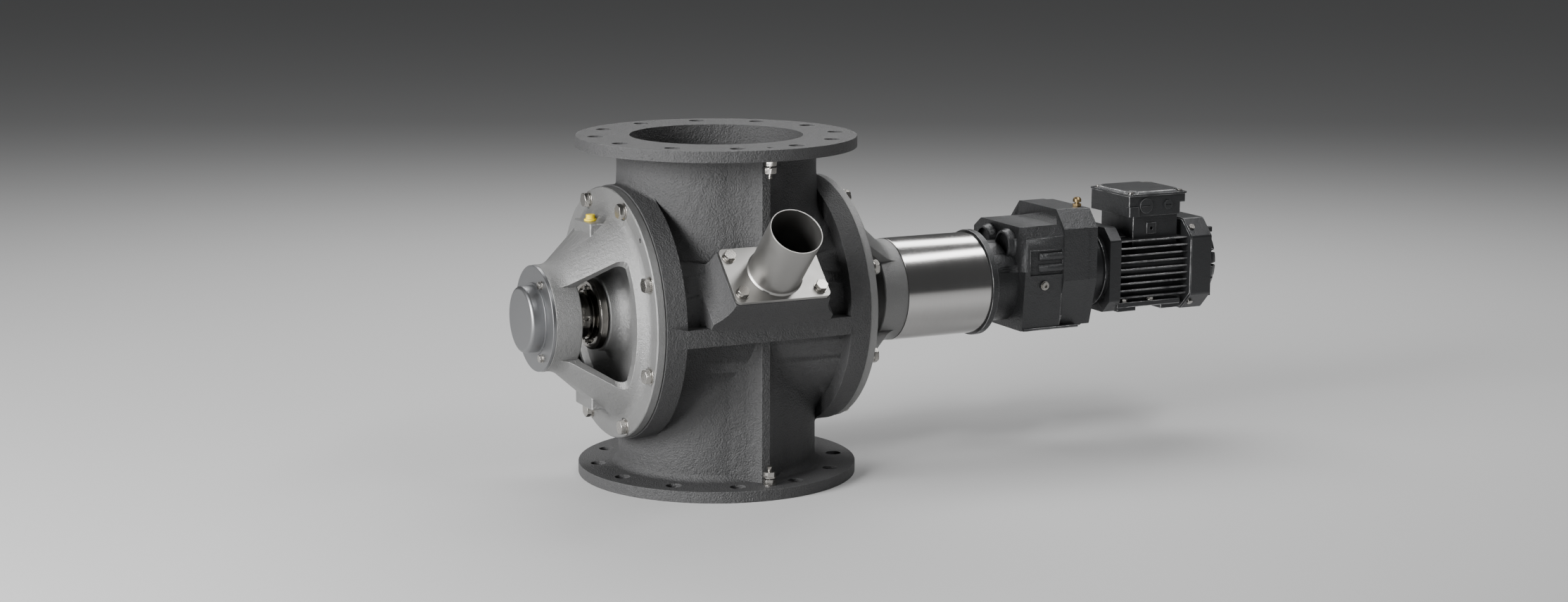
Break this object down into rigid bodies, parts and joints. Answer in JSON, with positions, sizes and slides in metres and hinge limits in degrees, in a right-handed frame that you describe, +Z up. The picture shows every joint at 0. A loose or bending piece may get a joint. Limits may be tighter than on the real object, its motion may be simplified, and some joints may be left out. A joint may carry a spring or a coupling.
{
  "type": "rotary airlock valve",
  "caption": "Rotary airlock valve with round inlet and outlet flanges, an angled vent branch, open-armed end covers, a tubular coupling guard, an in-line gear unit and a motor.",
  "frame": {"origin": "centre of the outlet flange's underside", "axes": "+Z up through the inlet, +X along the rotor axis towards the motor, -Y the side of the vent branch"},
  "size_m": [1.144, 0.4905, 0.495],
  "materials": {
    "valve_body": "matte grey paint over fine cast grain",
    "vent_branch": "satin stainless",
    "vent_gasket": "matte",
    "vent_bolts": "stainless",
    "earth_studs": "stainless",
    "end_cover_free": "blasted casting",
    "end_cover_drive": "blasted casting",
    "cover_seals": "matte",
    "cover_bolts": "stainless",
    "purge_plugs": "yellow",
    "packing_rings": "matte",
    "glands": "polished stainless",
    "gland_studs": "stainless",
    "bearing_outer_rings": "ground",
    "bearing_inner_rings": "ground",
    "bearing_cap_free": "smooth bluish silver",
    "bearing_ring_drive": "smooth",
    "cap_screws": "stainless",
    "rotor": "machined stainless",
    "rotor_shaft": "ground",
    "shaft_nuts": "plain",
    "shaft_collars": "polished",
    "coupling_guard": "polished stainless",
    "coupling_hub_valve": "machined",
    "coupling_hub_gearbox": "machined",
    "coupling_star": "red elastomer",
    "output_gear": "ground teeth",
    "last_pinion": "ground teeth",
    "middle_gear": "ground teeth",
    "middle_pinion": "ground teeth",
    "first_gear": "ground teeth",
    "motor_pinion": "ground teeth",
    "last_countershaft": "ground",
    "first_countershaft": "ground",
    "output_shaft": "ground",
    "countershaft_bearings": "ground",
    "output_bearings": "ground",
    "gearbox_housing": "semi-gloss dark grey paint",
    "gearbox_rear_cover": "semi-gloss dark grey paint",
    "oil_plug": "plain",
    "gearbox_breather": "plain",
    "motor_adapter": "semi-gloss dark grey paint",
    "motor_front_shield": "semi-gloss dark grey paint",
    "motor_frame": "semi-gloss dark grey paint",
    "foot_bolts": "zinc plated",
    "stator_core": "laminated steel",
    "motor_rotor_core": "laminated steel",
    "motor_shaft": "ground",
    "motor_bearings": "ground",
    "motor_rear_shield": "semi-gloss dark grey paint",
    "cooling_fan": "black",
    "fan_cowl": "semi-gloss dark grey paint",
    "cowl_screws": "zinc plated",
    "terminal_box": "semi-gloss dark grey paint",
    "terminal_lid": "semi-gloss dark grey paint",
    "lid_screws": "zinc plated",
    "cable_entry_plugs": "black"
  },
  "bodies": {
    "housing": {"valve_body": "valve_body", "vent_branch": "vent_branch", "vent_gasket": "vent_gasket", "vent_bolts": "vent_bolts", "earth_studs": "earth_studs", "end_cover_free": "end_cover_free", "end_cover_drive": "end_cover_drive", "cover_seals": "cover_seals", "cover_bolts": "cover_bolts", "purge_plugs": "purge_plugs", "packing_rings": "packing_rings", "glands": "glands", "gland_studs": "gland_studs", "bearing_outer_rings": "bearing_outer_rings", "bearing_cap_free": "bearing_cap_free", "bearing_ring_drive": "bearing_ring_drive", "cap_screws": "cap_screws", "coupling_guard": "coupling_guard", "countershaft_bearings": "countershaft_bearings", "output_bearings": "output_bearings", "gearbox_housing": "gearbox_housing", "gearbox_rear_cover": "gearbox_rear_cover", "oil_plug": "oil_plug", "gearbox_breather": "gearbox_breather", "motor_adapter": "motor_adapter", "motor_front_shield": "motor_front_shield", "motor_frame": "motor_frame", "foot_bolts": "foot_bolts", "stator_core": "stator_core", "motor_bearings": "motor_bearings", "motor_rear_shield": "motor_rear_shield", "fan_cowl": "fan_cowl", "cowl_screws": "cowl_screws", "terminal_box": "terminal_box", "terminal_lid": "terminal_lid", "lid_screws": "lid_screws", "cable_entry_plugs": "cable_entry_plugs"},
    "rotor_train": {"rotor": "rotor", "rotor_shaft": "rotor_shaft", "shaft_nuts": "shaft_nuts", "shaft_collars": "shaft_collars", "bearing_inner_rings": "bearing_inner_rings", "coupling_hub_valve": "coupling_hub_valve", "coupling_hub_gearbox": "coupling_hub_gearbox", "coupling_star": "coupling_star", "output_shaft": "output_shaft", "output_gear": "output_gear"},
    "last_shaft": {"last_countershaft": "last_countershaft", "last_pinion": "last_pinion", "middle_gear": "middle_gear"},
    "first_shaft": {"first_countershaft": "first_countershaft", "middle_pinion": "middle_pinion", "first_gear": "first_gear"},
    "motor_rotor": {"motor_shaft": "motor_shaft", "motor_pinion": "motor_pinion", "motor_rotor_core": "motor_rotor_core", "cooling_fan": "cooling_fan"}
  },
  "joints": [
    {"name": "rotor_spin", "type": "hinge", "parent": "housing", "child": "rotor_train", "pos_m": [0, 0, 0.2475], "axis": [1, 0, 0], "continuous": true},
    {"name": "last_shaft_spin", "type": "hinge", "parent": "housing", "child": "last_shaft", "pos_m": [0, -0.0285, 0.30703], "axis": [1, 0, 0], "continuous": true},
    {"name": "first_shaft_spin", "type": "hinge", "parent": "housing", "child": "first_shaft", "pos_m": [0, 0.0285, 0.30703], "axis": [1, 0, 0], "continuous": true},
    {"name": "motor_spin", "type": "hinge", "parent": "housing", "child": "motor_rotor", "pos_m": [0, 0, 0.25767], "axis": [1, 0, 0], "continuous": true}
  ],
  "couplings": [
    {"joint": "last_shaft_spin", "follows": "rotor_spin", "ratio": -3},
    {"joint": "first_shaft_spin", "follows": "rotor_spin", "ratio": 7.3636},
    {"joint": "motor_spin", "follows": "rotor_spin", "ratio": -18.074}
  ]
}
